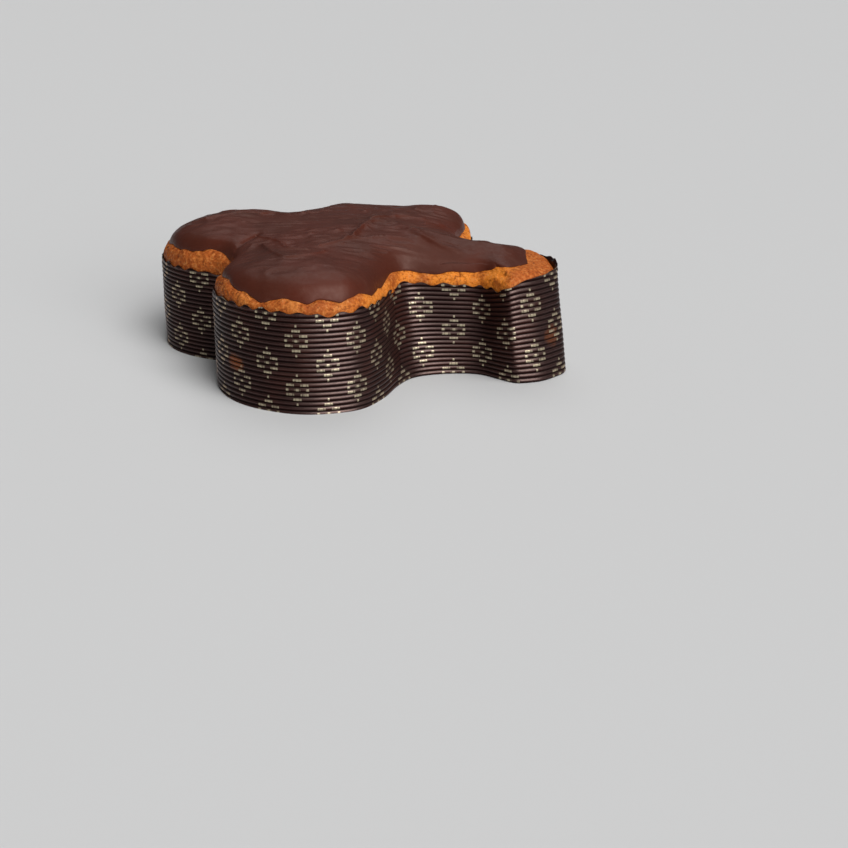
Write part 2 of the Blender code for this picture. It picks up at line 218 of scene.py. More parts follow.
def column_runs(count, crowd=0.004):
    """Lengths along the outline, from the band's seam round to it again, closer together
    where the outline bends sharply."""
    turn = np.linalg.norm(np.roll(OUTWARD, -1, axis=0) - OUTWARD, axis=1)
    first = int(SEAM_AT / PERIMETER * OUTLINE_STEPS)
    weight = np.roll(PERIMETER / OUTLINE_STEPS + crowd * turn, -first)
    whole = np.concatenate([[0], np.cumsum(weight)])
    place = np.interp(np.arange(count) / count * whole[-1], whole, np.arange(OUTLINE_STEPS + 1))
    return (place + first) / OUTLINE_STEPS * PERIMETER


def heart_line(run):
    """For each place on the outline, the nearest point of an ellipse in the dove's middle."""
    angle = np.linspace(0, 2 * math.pi, HEART_STEPS + 1)
    ellipse = np.column_stack([HEART_ELLIPSE[0] * np.cos(angle), HEART_ELLIPSE[1] * np.sin(angle)])
    edge = read_round(run, OUTLINE) - BAND * read_round(run, OUTWARD)
    return ellipse[((edge[:, None] - ellipse[None]) ** 2).sum(axis=2).argmin(axis=1)]


def inset_rows(run, inset):
    """Rows of plan points, each at its distance in from the outline: along the outline's
    normal within the band, and beyond it straight on towards the heart line."""
    line = read_round(run, OUTLINE)
    normal = read_round(run, OUTWARD)
    heart = heart_line(run)
    edge = line - BAND * normal
    reach = np.linalg.norm(edge - heart, axis=1)
    inset = inset * np.ones((1, len(run)))
    near = line - np.minimum(inset, BAND)[..., None] * normal
    part = np.clip((inset - BAND) / reach, 0, 1)[..., None]
    return near + part * (heart - edge)


def rim_height(xy):
    """Height of the case's edge: level, but higher on the near wing and at the head."""
    wing = CASE_WING_RISE * ease(xy[..., 1], WING_RISE_OUT)
    head = CASE_HEAD_RISE * ease(xy[..., 0], HEAD_RISE_FROM)
    return CASE_HEIGHT + wing + head


def stand_in_place(points):
    """Leans the head's end back with height, leans the wall in and out at a few places, and
    centres the whole on the origin."""
    moved = points.copy()
    up = np.clip(points[..., 2] / CASE_HEIGHT, 0, LEAN_LIMIT)
    moved[..., 0] -= HEAD_LEAN * ease(points[..., 0], LEAN_FROM) * up
    for centre, radius, shift in WALL_LEANS:
        away = ((points[..., :2] - np.array(centre)) ** 2).sum(axis=-1) / radius ** 2
        moved[..., :2] += np.array(shift) * (np.exp(-0.5 * away) * np.minimum(up, 1))[..., None]
    moved[..., :2] -= BOX_CENTRE
    return moved


def lattice_noise(points, size, seed):
    """Smooth random values, -1 to 1: a random number at each corner of a cubic lattice, with
    eased blending between the eight corners round a point."""
    place = points / size
    low = np.floor(place).astype(np.int64)
    part = place - low
    part = part * part * (3 - 2 * part)
    total = 0.0
    for corner in np.ndindex(*(2,) * points.shape[-1]):
        cell = low + np.array(corner)
        key = (cell * np.array([73856093, 19349663, 83492791])[:points.shape[-1]]).sum(axis=-1)
        key = (key + seed * 374761393) & 0x7FFFFFFF
        key = ((key ^ (key >> 13)) * 1274126177) & 0x7FFFFFFF
        key = ((key ^ (key >> 16)) * 668265263) & 0x7FFFFFFF
        weight = np.prod(np.where(np.array(corner) == 1, part, 1 - part), axis=-1)
        total = total + weight * (key / 0x7FFFFFFF * 2 - 1)
    return total


def closed_skin(name, grid, low_pole, high_pole, across=None, upward=None):
    """Mesh of a grid of points, closed round its columns, each end row fanned to a pole.
    Rows run out from the lower pole and back to the upper one, so faces point outwards."""
    rows, around = grid.shape[:2]
    points = np.vstack([grid.reshape(-1, 3), [low_pole], [high_pole]])
    j = np.arange(around)
    k = (j + 1) % around
    i = np.arange(rows - 1)[:, None] * around
    quads = np.stack([i + j, i + k, i + around + k, i + around + j], axis=-1).reshape(-1, 4)
    last = (rows - 1) * around
    low_fan = np.column_stack([k, j, np.full(around, rows * around)])
    high_fan = np.column_stack([last + j, last + k, np.full(around, rows * around + 1)])
    mesh = bpy.data.meshes.new(name)
    mesh.from_pydata(stand_in_place(points).tolist(), [],
                     quads.tolist() + low_fan.tolist() + high_fan.tolist())
    mesh.polygons.foreach_set("use_smooth", np.ones(len(mesh.polygons), bool))
    if across is not None:
        u = np.stack([across[:-1], across[1:], across[1:], across[:-1]], axis=-1)
        u = np.broadcast_to(u, (rows - 1, around, 4))
        v = np.stack([upward[:-1], upward[:-1][:, k], upward[1:][:, k], upward[1:]], axis=-1)
        corners = np.stack([u, v], axis=-1).reshape(-1, 2)
        corners = np.vstack([corners, np.zeros((6 * around, 2))])
        layer = mesh.uv_layers.new(name="Print")
        layer.data.foreach_set("uv", corners.ravel())
    mesh.update()
    made = bpy.data.objects.new(name, mesh)
    bpy.context.scene.collection.objects.link(made)
    return made


def rib_bulge(level):
    """How far a rib stands out: a rounded crest between narrow valleys, one in each unit."""
    return RIB_DEPTH * (2 * np.abs(np.sin(math.pi * level)) ** RIB_ROUNDNESS - 1)


def band_drop(run):
    """Ribs by which the band stands lower, read between its measured places."""
    places, ribs = zip(*BAND_DROPS)
    return np.interp(run, places, ribs)


def length_from(place, run):
    """Length along the outline from a place, the shorter way round."""
    return np.mod(run - place + PERIMETER / 2, PERIMETER) - PERIMETER / 2


def rim_dip(run):
    """How far the cut edge is dented down, a rounded dip at each measured place."""
    return sum(deep * np.exp(-(length_from(place, run) / reach) ** 2) for place, reach, deep in RIM_DIPS)


def scallop(run):
    """Rise and fall of the die-cut edge: a wave whose length and height wander, on a broader
    one, and lower at the head's tip."""
    turn = 2 * math.pi * run / PERIMETER

    def slow(waves, share, start):
        return share * np.sin(waves * turn + start)

    count = round(PERIMETER / SCALLOP_LENGTH)
    wave = np.sin(count * turn + sum(slow(*shift) for shift in SCALLOP_SHIFTS))
    wave = wave * (1 + slow(*SCALLOP_SWELL)) + slow(*SCALLOP_BROAD)
    share, change = SCALLOP_CALM
    calm = 1 - share * ease(read_round(run, OUTLINE)[:, 0], change)
    return SCALLOP_HEIGHT * calm * wave


def at_height(rows, height):
    """Rows of plan points as points of space: at one height, or each at its own."""
    height = np.broadcast_to(height, rows.shape[:2])
    return np.concatenate([rows, height[..., None]], axis=-1)


def paper_case_grid():
    """Rows from the floor's middle out to its edge, up the ribbed wall, over the cut edge,
    down the plain inside and back over the floor."""
    run = column_runs(CASE_COLUMNS)
    line = read_round(run, OUTLINE)
    normal = read_round(run, OUTWARD)
    rim = rim_height(line)
    cut = rim + scallop(run) - rim_dip(run)

    level = (np.arange(RIB_ROWS)[:, None] + np.array(RIB_STEPS)).ravel()
    level = np.append(level, RIB_ROWS)[:, None]
    drop = band_drop(run)
    ribs = np.maximum(level - drop, RIB_SQUEEZE * level)
    ribs = np.minimum(ribs, cut / rim * RIBS_TALL - RIB_SQUEEZE * (RIB_ROWS - level))
    height = ribs / RIBS_TALL * rim
    fade_height, fade_share = RIBS_FADE
    out = rib_bulge(ribs + drop) * np.clip((cut - height) / fade_height, fade_share, 1)
    place = np.stack(np.broadcast_arrays(run[None], height), axis=-1)
    out = out + PAPER_BUCKLE * lattice_noise(place, BUCKLE_SIZE, 3)
    for corner, rise, reach in WALL_CORNERS:
        out = out + rise * np.exp(-np.abs(run - corner) / reach) * ease(height, CORNER_FROM)
    since = np.mod(run - SEAM_AT, PERIMETER)
    out = out + SEAM_STEP * (since < SEAM_LAP)
    out[0] = np.minimum(out[0], 0)
    wall = at_height(line + out[..., None] * normal, height)

    floor_out = inset_rows(run, np.array(FLOOR_INSETS)[:, None])
    inner_edge = line + (out[-1] - PAPER_THICK)[:, None] * normal
    in_by, down_by = RIM_INSIDE
    inner_side = line - CASE_INNER * normal
    inner = np.stack([np.column_stack([inner_edge, cut]),
                      np.column_stack([line - in_by * normal, cut - down_by]),
                      np.column_stack([inner_side, cut - RIM_TAPER]),
                      np.column_stack([inner_side, np.full(len(run), FLOOR)])])
    grid = np.concatenate([at_height(floor_out, 0), wall, inner, at_height(floor_out[::-1], FLOOR)])
    return run, rim, grid


def print_columns(run):
    """Count of rosette columns at a length along the outline, even beyond the measured ones."""
    places, counts = zip(*PRINT_COLUMNS)
    inside = np.interp(run, places, counts)
    before = np.minimum(run - places[0], 0) / PRINT_PITCH
    after = np.maximum(run - places[-1], 0) / PRINT_PITCH
    return inside + before + after


def new_material(name, colour, roughness, specular=0.5):
    made = bpy.data.materials.new(name)
    made.use_nodes = True
    shader = made.node_tree.nodes["Principled BSDF"]
    shader.inputs["Base Color"].default_value = colour
    shader.inputs["Roughness"].default_value = roughness
    shader.inputs["Specular IOR Level"].default_value = specular
    made.diffuse_color = colour
    return made, made.node_tree.nodes, made.node_tree.links, shader


def node_maker(nodes, links):
    """Short ways to add nodes: each returns the new node's output."""

    def feed(socket, value):
        if isinstance(value, bpy.types.NodeSocket):
            links.new(value, socket)
        else:
            socket.default_value = value

    def sums(operation, *values):
        node = nodes.new("ShaderNodeMath")
        node.operation = operation
        for socket, value in zip(node.inputs, values):
            feed(socket, value)
        return node.outputs[0]

    def climb(value, low, high, to_low=0.0, to_high=1.0):
        node = nodes.new("ShaderNodeMapRange")
        node.interpolation_type = "SMOOTHSTEP"
        for socket, given in zip(node.inputs, (value, low, high, to_low, to_high)):
            feed(socket, given)
        return node.outputs[0]

    def mix(factor, first, second):
        node = nodes.new("ShaderNodeMix")
        node.data_type = "RGBA"
        feed(node.inputs["Factor"], factor)
        feed(node.inputs["A"], first)
        feed(node.inputs["B"], second)
        return node.outputs["Result"]

    def noise(coords, scale, detail=3.0, rough=0.5, stretch=(1, 1, 1), warp=0.0):
        if stretch != (1, 1, 1):
            mapping = nodes.new("ShaderNodeMapping")
            mapping.inputs["Scale"].default_value = stretch
            links.new(coords, mapping.inputs["Vector"])
            coords = mapping.outputs[0]
        node = nodes.new("ShaderNodeTexNoise")
        node.inputs["Scale"].default_value = scale
        node.inputs["Detail"].default_value = detail
        node.inputs["Roughness"].default_value = rough
        node.inputs["Distortion"].default_value = warp
        links.new(coords, node.inputs["Vector"])
        return node.outputs["Fac"]

    def bump(height, strength, distance):
        node = nodes.new("ShaderNodeBump")
        node.inputs["Strength"].default_value = strength
        node.inputs["Distance"].default_value = distance
        links.new(height, node.inputs["Height"])
        return node.outputs[0]

    return sums, climb, mix, noise, bump


# Rosette: dashes of print in one quarter of it, each a place across, a rib up, a half width.
ROSETTE_DASHES = ((0.0, 0, 0.0018), (0.0054, 0, 0.0013), (0.0040, 1, 0.0024), (0.0, 2, 0.0028),
                  (0.0, 3, 0.0007))
DASH_HALF_TALL = 0.0013
# Each dash is a row of beads of ink, this far apart and set off from each other this much.
DASH_BEAD = 0.0019
DASH_BEADED = 0.34
# Its ink is gone beyond the first of these distances and full within the second, where 1 is
# the dash's own edge.
DASH_EDGE = (1.15, 0.45)
# How far from a rib's crest, in ribs, the print starts and is full. Cutting the print out of the valleys is
# painted shade there.
PRINT_SHADED_OFF_CREST = (0.29, 0.17)
PRINT_METAL = 0.85
PRINT_WORN = 0.35
# Painted shade in the rib valleys: from the first to the second distance from a crest, in ribs, the paper
# darkens to the valley colour.
PAPER_TO_VALLEY_SHADE = (0.28, 0.46)
PAPER_ROUGH = (0.30, 0.42)
PAPER_BUMP = (0.12, 0.0002)
VALLEY_GLOSS = 0.15
VALLEY_ROUGHER = 0.3
GREASE_RAGGED = 1.6
# Scales of the noise that varies the paper: cycles a metre.
PAPER_CLOUDS = 45
GREASE_EDGE = 260
PRINT_WEAR = 420
PAPER_GRAIN = 700
PAPER_FIBRE = 1500
# The paper's underside and inside lie at a plain place of the print's map, given in ribs:
# that many rows from either end of the grid.
UNDERSIDE_ROWS, UNDERSIDE_RIBS = 2, 0.2
INSIDE_ROWS, INSIDE_RIBS = 6, 22.2


def paper_material():
    """Dark brown gloss paper with cream rosettes set in a diamond lattice on its UV map, where U counts
    columns and V counts repeats. The print is real, but it shows only on the rib crests: keeping it out of
    the valleys, and darkening the valleys, is painted shade."""
    made, nodes, links, shader = new_material("case paper", PAPER_MAROON, 0.36, 0.7)
    shader.inputs["Specular Tint"].default_value = PAPER_SHEEN
    sums, climb, mix, noise, bump = node_maker(nodes, links)
    map_node = nodes.new("ShaderNodeUVMap")
    map_node.uv_map = "Print"
    split = nodes.new("ShaderNodeSeparateXYZ")
    links.new(map_node.outputs[0], split.inputs[0])
    column, repeat = split.outputs[0], split.outputs[1]
    coords = nodes.new("ShaderNodeTexCoord").outputs["Object"]

    def lattice(shift_column, shift_repeat):
        """Nearness to the dashes of the rosettes at every second column, 1 on a dash."""
        half = sums("ADD", sums("MULTIPLY", column, 0.5), 0.5 + shift_column)
        x = sums("MULTIPLY", sums("SUBTRACT", sums("FRACT", half), 0.5), 2 * PRINT_PITCH)
        y = sums("SUBTRACT", sums("FRACT", sums("ADD", repeat, 0.5 + shift_repeat)), 0.5)
        y = sums("MULTIPLY", y, PRINT_REPEAT)
        x, y = sums("ABSOLUTE", x), sums("ABSOLUTE", y)
        nearest = None
        for dash_x, ribs_up, half_wide in ROSETTE_DASHES:
            dx = sums("DIVIDE", sums("SUBTRACT", x, dash_x), half_wide)
            dy = sums("DIVIDE", sums("SUBTRACT", y, ribs_up * RIB_PITCH), DASH_HALF_TALL)
            away = sums("ADD", sums("MULTIPLY", dx, dx), sums("POWER", dy, 4.0))
            nearest = away if nearest is None else sums("MINIMUM", nearest, away)
        beads = sums("SUBTRACT", 1.0, sums("COSINE", sums("MULTIPLY", x, 2 * math.pi / DASH_BEAD)))
        nearest = sums("ADD", nearest, sums("MULTIPLY", beads, DASH_BEADED))
        return climb(nearest, *DASH_EDGE)

    dashes = sums("MAXIMUM", lattice(0.0, 0.0), lattice(0.5, 0.5))
    rib = sums("ADD", sums("MULTIPLY", repeat, REPEAT_RIBS), 0.5)
    crest = sums("ABSOLUTE", sums("SUBTRACT", sums("FRACT", rib), 0.5))
    # painted shade: the print is cut out of the rib valleys and kept to the crests
    print_shaded_off_crest = climb(crest, *PRINT_SHADED_OFF_CREST)
    wear = climb(noise(coords, PRINT_WEAR, 3), 0.30, 0.50, PRINT_WORN, 1.0)
    printed = sums("MULTIPLY", sums("MULTIPLY", dashes, print_shaded_off_crest), wear)

    tone = mix(climb(noise(coords, PAPER_CLOUDS, 3), 0.42, 0.66), PAPER_MAROON, PAPER_RED_BROWN)
    ragged = sums("MULTIPLY", sums("SUBTRACT", noise(coords, GREASE_EDGE, 3), 0.5), GREASE_RAGGED)
    for place, high, half_wide, half_tall, strength in GREASE_SPOTS:
        column_at = float(print_columns(np.array([place]))[0])
        dx = sums("MULTIPLY", sums("SUBTRACT", column, column_at), PRINT_PITCH / half_wide)
        dy = sums("SUBTRACT", repeat, (high - 0.5) / REPEAT_RIBS)
        dy = sums("MULTIPLY", dy, REPEAT_RIBS / half_tall)
        away = sums("ADD", sums("MULTIPLY", dx, dx), sums("MULTIPLY", dy, dy))
        spot = climb(sums("ADD", away, ragged), 1.2, 0.1, 0.0, strength)
        tone = mix(spot, tone, GREASE_ORANGE)
    # painted shade: the paper darkens towards each rib's valley
    tone = mix(climb(crest, *PAPER_TO_VALLEY_SHADE), tone, PAPER_VALLEY_SHADE)
    colour = mix(printed, tone, PRINT_CREAM)
    links.new(colour, shader.inputs["Base Color"])
    links.new(sums("MULTIPLY", printed, PRINT_METAL), shader.inputs["Metallic"])
    # the rib's upper side is smooth and glossy, its lower side and the valley are dull
    phase = sums("FRACT", rib)
    upper = climb(phase, 0.34, 0.60, PAPER_DULL, PAPER_GLOSS)
    gloss = sums("MULTIPLY", upper, climb(crest, 0.48, 0.34, VALLEY_GLOSS, 1.0))
    links.new(gloss, shader.inputs["Specular IOR Level"])
    grain = climb(noise(coords, PAPER_GRAIN, 3), 0.3, 0.7, *PAPER_ROUGH)
    links.new(sums("ADD", grain, climb(crest, 0.30, 0.48, 0.0, VALLEY_ROUGHER)), shader.inputs["Roughness"])
    links.new(bump(noise(coords, PAPER_FIBRE, 2), *PAPER_BUMP), shader.inputs["Normal"])
    return made


case_run, case_rim, case_grid = paper_case_grid()
case_ribs = case_grid[..., 2] / case_rim * RIBS_TALL + band_drop(case_run)
case_ribs[:UNDERSIDE_ROWS] = UNDERSIDE_RIBS
case_ribs[-INSIDE_ROWS:] = INSIDE_RIBS
case_up = (case_ribs - 0.5) / REPEAT_RIBS
case_across = print_columns(np.append(case_run, case_run[0] + PERIMETER))
paper_case = closed_skin("printed_paper_case", case_grid, (0, 0, 0), (0, 0, FLOOR),
                         case_across, case_up)
paper_case.data.materials.append(paper_material())
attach(paper_case, "root")
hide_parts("paper_case")


# The bread: sweet yeast dough risen and baked in the case, which it fills. Above the paper
# its crust turns over in a rough, pitted golden shoulder, and the low dome inside it is
# covered by the glaze.
GAP = 0.0003
BREAD_SIDE = CASE_INNER + GAP
SHOULDER_HEIGHT = 0.0085
SHOULDER_REACH = 0.0026
SHOULDER_SINK = 0.0010
DOME_HEIGHT = 0.0140
DOME_REACH = 0.0210
# Share by which shoulder and dome change along X: fuller at the tail, lower at neck and head.
SHOULDER_CHANGES = (
    (0.55, (-0.055, -0.030)),
    (-0.30, (-0.095, -0.020)),
    (-0.20, (0.035, 0.030)),
    (-0.62, (0.085, 0.030)),
)
DOME_CHANGES = ((-0.30, (-0.050, -0.040)), (-0.78, (0.078, 0.030)))
# Local swells of the dome: place, radius, height.
SWELLS = (
    ((0.078, 0.006), 0.020, 0.0018),
    ((-0.064, -0.046), 0.011, 0.0036),
    ((-0.048, 0.046), 0.022, 0.0030),
    ((-0.014, 0.070), 0.028, -0.0030),
    ((0.032, 0.082), 0.016, 0.0026),
)
SWELL_INSIDE = 0.008
# Slow unevenness: height, turns along X and Y in radians a metre, start.
UNEVEN = ((0.0008, 38.0, 22.0, 0.6), (0.0006, -27.0, 61.0, 2.1))
UNEVEN_INSIDE = 0.020
BARE_STRIP = 0.0050
BARE_HEAD = 0.0120
BARE_HEAD_FROM = (0.101, 0.021)
# Wander of the glaze's border: height, number of waves round the outline, start.
BARE_WANDER = ((0.00035, 17, 0.0), (0.00022, 37, 1.0), (0.00008, 83, 0.0))
# Wider or narrower strips of bare crust: length along the outline, reach, change.
BARE_PATCHES = (
    (0.039, 0.014, 0.0055), (0.090, 0.030, 0.0008), (0.250, 0.040, 0.0007),
    (0.340, 0.014, -0.0012), (0.443, 0.012, 0.0008), (0.505, 0.009, 0.0008),
    (0.540, 0.012, -0.0021), (0.567, 0.006, -0.0013), (0.586, 0.009, -0.0019),
    (0.602, 0.006, 0.0006), (0.613, 0.010, -0.0016), (0.631, 0.008, -0.0020),
    (0.643, 0.006, 0.0005), (0.666, 0.007, -0.0010), (0.711, 0.013, 0.0122),
)

BREAD_COLUMNS = 1080
# Every so manyth point of the outline is enough to measure distances to it.
DEPTH_STRIDE = 6
UNDER_INSET = 0.030
# Rows of the bread's side inside the case, as shares of the rim's height.
SIDE_SHARES = (0.30, 0.62, 0.87)
# The crust starts below the rim, lower at the head's tip, and bulges: inset, share of its rise.
CRUST_ROWS = 26
CRUST_RIM_INSET = 0.00100
CRUST_START = 0.0016
CRUST_HEAD_DROP = (0.0016, (0.104, 0.014))
CRUST_BULGE = (0.0006, 0.7425)
# The crust's outward slope at its foot, and how much it grows up to the glaze's border.
CRUST_SLOPE = (0.35, 0.45)
# Lumps: size, height. Pits: size, depth, and how far the noise has to fall for one.
CRUST_LUMPS = ((0.0050, 0.00034), (0.0026, 0.000204))
CRUST_PITS = (0.0014, 0.00112, 0.25)
# Where across the crust, 0 at the paper and 1 at the glaze, relief and splits come in and end.
RELIEF_IN = (0.05, 0.40)
RELIEF_OUT = (1.12, -0.15)
SPLITS_IN = (0, 0.3)
SPLITS_OUT = (1.1, -0.5)
# Splits in the crust: length along the outline, depth, width, lean.
CRUST_SPLITS = (
    (0.5625, 0.0013, 0.0007, 0.0), (0.4020, 0.0008, 0.0008, 0.3), (0.1350, 0.0010, 0.0008, -0.2),
    (0.3300, 0.0009, 0.0007, 0.2), (0.0320, 0.0008, 0.0008, 0.0), (0.6760, 0.0006, 0.0006, 0.2),
)
# Rows under the glaze: closer together near its border by this power, from the share given.
UNDER_GLAZE_ROWS = 14
UNDER_GLAZE_FIRST = 0.04
UNDER_GLAZE_POWER = 1.3
MIDDLE_SHARES = (0.66, 0.33)
CRUST_GOLD = (0.420, 0.100, 0.013, 1.0)
CRUST_YELLOW = (0.540, 0.165, 0.028, 1.0)
CRUST_TOAST = (0.290, 0.062, 0.008, 1.0)
CRUST_PALE = (0.700, 0.280, 0.075, 1.0)
CRUST_BRIGHT = (0.780, 0.235, 0.020, 1.0)
CRUST_HEAD = (0.440, 0.096, 0.012, 1.0)
CRUST_BROWN = (0.170, 0.032, 0.004, 1.0)
CRUST_DARK = (0.060, 0.013, 0.004, 1.0)
CRUST_ROUGH = (0.72, 0.52)
CRUST_BUMP = (0.9, 0.0008)
CRUST_GLOW = 0.06
CRUST_GLOW_REACH = (0.0025, 0.0012, 0.0005)
# Scales of the noise that varies the crust: cycles a metre.
CRUST_CLOUDS = 75
CRUST_CRUMBS = 520
CRUST_SPECKS = 1150
# Where along X the colour changes: start, end, and where given the amount there.
TAIL_DARKER = (-0.005, -0.060, 0.0, 0.14)
NECK_BRIGHT_FROM = (0.020, 0.045)
NECK_BRIGHT_TO = (0.100, 0.088)
HEAD_COLOUR_FROM = (0.090, 0.104, 0.0, 0.8)


def depth(xy):
    """Distance in plan from each point to the outline."""
    ring = OUTLINE[::DEPTH_STRIDE]
    rows = [np.sqrt(((row[:, None] - ring[None]) ** 2).sum(axis=2).min(axis=1)) for row in xy]
    return np.array(rows)


def bread_height(xy, d):
    """Top of the bread from its depth in from the outline: a steep shoulder at the rim that
    levels off, a low dome that goes on rising, local swells, and a slow unevenness."""
    d = np.maximum(d - BREAD_SIDE, 0)
    x, y = xy[..., 0], xy[..., 1]
    full = 1 + sum(share * ease(x, change) for share, change in SHOULDER_CHANGES)
    shoulder = SHOULDER_HEIGHT * full * (1 - np.exp(-d / SHOULDER_REACH)) - SHOULDER_SINK
    dome = DOME_HEIGHT * (1 - np.exp(-d / DOME_REACH))
    for share, change in DOME_CHANGES:
        dome *= 1 + share * ease(x, change)
    for centre, radius, height in SWELLS:
        away = ((xy - np.array(centre)) ** 2).sum(axis=-1) / radius ** 2
        dome += height * np.exp(-0.5 * away) * ease(d, (0, SWELL_INSIDE))
    uneven = sum(high * np.sin(turn_x * x + turn_y * y + start)
                 for high, turn_x, turn_y, start in UNEVEN)
    return rim_height(xy) + shoulder + dome + uneven * ease(d, (0, UNEVEN_INSIDE))


def glaze_border(run):
    """Width of the crust left bare round the glaze: wider at the head's end, and wandering."""
    xy = read_round(run, OUTLINE)
    turn = 2 * math.pi * run / PERIMETER
    wander = sum(high * np.sin(waves * turn + start) for high, waves, start in BARE_WANDER)
    strip = BARE_STRIP + wander
    for place, reach, change in BARE_PATCHES:
        strip = strip + change * np.exp(-(length_from(place, run) / reach) ** 2)
    return strip + BARE_HEAD * ease(xy[:, 0], BARE_HEAD_FROM)


def bread_grid():
    """Rows from the middle of the underside out, up the side in the case, over the bulging
    crust to the glaze's border, and on under the glaze to the top."""
    run = np.mod(column_runs(BREAD_COLUMNS), PERIMETER)
    line = read_round(run, OUTLINE)
    normal = read_round(run, OUTWARD)
    rim = rim_height(line)
    border = glaze_border(run)

    under = at_height(inset_rows(run, np.array([[UNDER_INSET], [BREAD_SIDE]])), FLOOR + GAP)
    side = np.stack([np.column_stack([line - BREAD_SIDE * normal, rim * share])
                     for share in SIDE_SHARES])

    # crust: a curve of second degree from the rim, near upright, over to the glaze's border
    end_xy = inset_rows(run, border[None])
    end_z = bread_height(end_xy, depth(end_xy))[0]
    t = np.linspace(0, 1, CRUST_ROWS)[:, None]
    bulge_inset, bulge_height = CRUST_BULGE
    inset = ((1 - t) ** 2 * CRUST_RIM_INSET + 2 * t * (1 - t) * bulge_inset + t ** 2 * border)
    head_drop, head_from = CRUST_HEAD_DROP
    z0 = rim - CRUST_START - head_drop * ease(line[:, 0], head_from) - np.maximum(rim_dip(run), 0)
    z1 = rim + bulge_height * (end_z - rim)
    z = (1 - t) ** 2 * z0 + 2 * t * (1 - t) * z1 + t ** 2 * end_z
    crust = at_height(inset_rows(run, inset), z)

    # relief: lumps, pits and splits, standing along the crust's outward slope
    relief = sum(high * lattice_noise(crust, size, 11 + k) for k, (size, high) in enumerate(CRUST_LUMPS))
    size, deep, fall = CRUST_PITS
    relief = relief + deep * np.minimum(lattice_noise(crust, size, 13) + fall, 0)
    for place, deep, wide, lean in CRUST_SPLITS:
        away = (run[None] - place - lean * (z - rim)) / wide
        relief = relief - deep * np.exp(-away ** 2) * ease(t, SPLITS_IN) * ease(t, SPLITS_OUT)
    relief = relief * ease(t, RELIEF_IN) * ease(t, RELIEF_OUT)
    slope = CRUST_SLOPE[0] + CRUST_SLOPE[1] * t
    crust[..., :2] += (relief * np.sqrt(1 - slope ** 2))[..., None] * normal
    crust[..., 2] += relief * slope

    heart = heart_line(run)
    share = np.linspace(UNDER_GLAZE_FIRST, 1, UNDER_GLAZE_ROWS) ** UNDER_GLAZE_POWER
    top = crust[-1, :, :2] + share[:, None, None] * (heart - crust[-1, :, :2])
    top = np.concatenate([top, [part * heart for part in MIDDLE_SHARES]])
    top = at_height(top, bread_height(top, depth(top)))
    return np.concatenate([under, side, crust, top])


def crust_material():
    """Baked crust: golden with yellow and brown clouds, speckled dark in its pits, brighter at the neck and
    darker towards the tail."""
    made, nodes, links, shader = new_material("golden crust", CRUST_GOLD, 0.62, 0.2)
    sums, climb, mix, noise, bump = node_maker(nodes, links)
    coords = nodes.new("ShaderNodeTexCoord").outputs["Object"]
    clouds = noise(coords, CRUST_CLOUDS, 4, 0.55)
    fine = noise(coords, CRUST_CRUMBS, 4, 0.6)
    specks = noise(coords, CRUST_SPECKS, 3, 0.6)
    split = nodes.new("ShaderNodeSeparateXYZ")
    links.new(coords, split.inputs[0])
    along = split.outputs[0]
    darker = sums("ADD", clouds, climb(along, *TAIL_DARKER))
    tone = mix(climb(darker, 0.34, 0.56), CRUST_YELLOW, CRUST_GOLD)
    neck = sums("MULTIPLY", climb(along, *NECK_BRIGHT_FROM), climb(along, *NECK_BRIGHT_TO))
    tone = mix(sums("MULTIPLY", neck, climb(clouds, 0.64, 0.44, 0.25, 0.9)), tone, CRUST_BRIGHT)
    tone = mix(climb(along, *HEAD_COLOUR_FROM), tone, CRUST_HEAD)
    tone = mix(climb(darker, 0.50, 0.74, 0.0, 0.75), tone, CRUST_TOAST)
    tone = mix(climb(fine, 0.50, 0.66, 0.0, 0.45), tone, CRUST_PALE)
    tone = mix(climb(fine, 0.50, 0.34, 0.0, 0.60), tone, CRUST_BROWN)
    tone = mix(climb(specks, 0.45, 0.31, 0.0, 0.50), tone, CRUST_DARK)
    links.new(tone, shader.inputs["Base Color"])
    shader.inputs["Subsurface Weight"].default_value = CRUST_GLOW
    shader.inputs["Subsurface Radius"].default_value = CRUST_GLOW_REACH
    links.new(climb(fine, 0.3, 0.7, *CRUST_ROUGH), shader.inputs["Roughness"])
    height = sums("ADD", sums("MULTIPLY", fine, 0.7), sums("MULTIPLY", specks, 0.5))
    links.new(bump(height, *CRUST_BUMP), shader.inputs["Normal"])
    return made


bread_points = bread_grid()
centre = np.zeros((1, 1, 2))
centre_height = float(bread_height(centre, depth(centre))[0, 0])
bread = closed_skin("baked_bread", bread_points, (0, 0, FLOOR + GAP), (0, 0, centre_height))
bread.data.materials.append(crust_material())
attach(bread, "root")
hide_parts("bread")


# The glaze: dark chocolate poured over the top and left to set in one skin. It stops short
# of the paper in a rounded lip, dimples with the bread under it, and its surface has drawn
# into soft folds, fine wrinkles and a few burst bubbles.
GLAZE = 0.0018
# The skin lies this far above the bread, to keep the two surfaces apart.
GLAZE_LIFT = 0.00008
GLAZE_COLUMNS = 720
OUTER_GLAZE_ROWS = 84
INNER_GLAZE_ROWS = 22
GLAZE_UNDER_ROWS = 12
GLAZE_MIDDLE_SHARES = (0.4, 0.75)
# The lip: its length, rows, how far it overhangs, and the power of its rise. At its end the
# skin has a share of its full thickness and relief, and has them all a length further in.
LIP_RUN = 0.0026
LIP_STEPS = 7
LIP_OVERHANG = 0.0004
LIP_RISE_POWER = 1.2
LIP_THICK = 0.92
LIP_RELIEF = 0.25
LIP_CLEAR = 0.010
